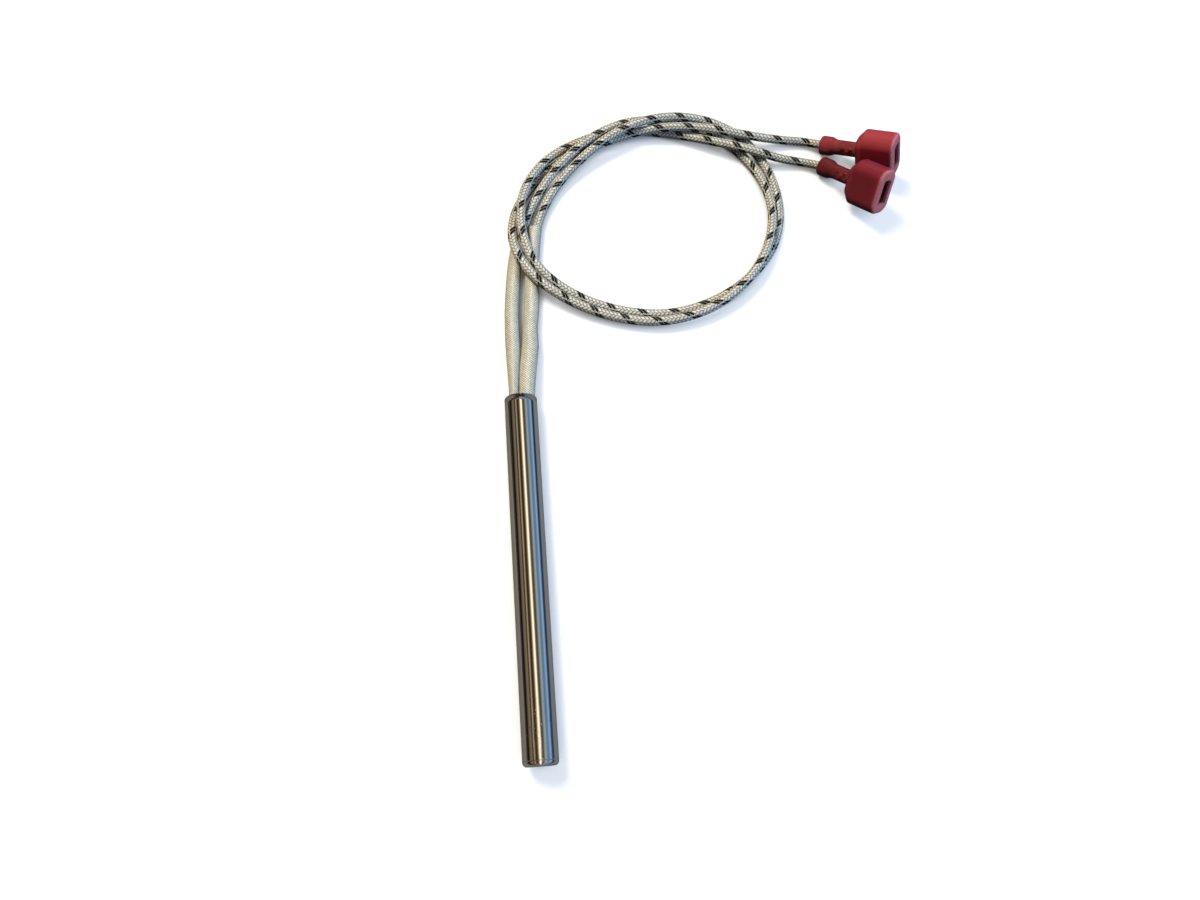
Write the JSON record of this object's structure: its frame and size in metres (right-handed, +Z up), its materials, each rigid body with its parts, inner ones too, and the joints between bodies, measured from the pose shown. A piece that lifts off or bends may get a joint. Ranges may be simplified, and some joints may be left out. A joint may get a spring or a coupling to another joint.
{
  "type": "pellet stove igniter",
  "caption": "Straight cartridge heater with a closed end and two sleeved, looped leads that end in insulated tab receptacles.",
  "frame": {"origin": "on the floor under the middle of the sheath", "axes": "+Y along the sheath towards its mouth, where the leads come out; +Z up"},
  "size_m": [0.1315, 0.2019, 0.0179],
  "materials": {
    "polished_steel": "polished",
    "ceramic": "matt",
    "magnesia": "matt",
    "resistance_alloy": "satin",
    "nickel": "satin",
    "lead_braid": "braided glass with two black threads",
    "sleeve_braid": "braided glass",
    "red_nylon": "translucent gloss",
    "tinned_brass": "tinned"
  },
  "bodies": {
    "root": {"sheath": "polished_steel", "end_disc": "polished_steel", "ceramic_core": "ceramic", "end_spacer": "ceramic", "pin_spacer": "ceramic", "mouth_seal": "ceramic", "magnesia_fill": "magnesia", "potting_cement": "magnesia", "resistance_winding": "resistance_alloy", "pin_right": "nickel", "pin_left": "nickel", "splice_right": "nickel", "splice_left": "nickel", "inner_strands_right": "nickel", "inner_strands_left": "nickel", "outer_strands_right": "nickel", "outer_strands_left": "nickel", "lead_right": "lead_braid", "lead_left": "lead_braid", "sleeve_right": "sleeve_braid", "sleeve_left": "sleeve_braid", "terminal_housing_right": "red_nylon", "terminal_housing_left": "red_nylon", "receptacle_right": "tinned_brass", "receptacle_left": "tinned_brass", "grip_sleeve_right": "tinned_brass", "grip_sleeve_left": "tinned_brass"}
  },
  "joints": []
}
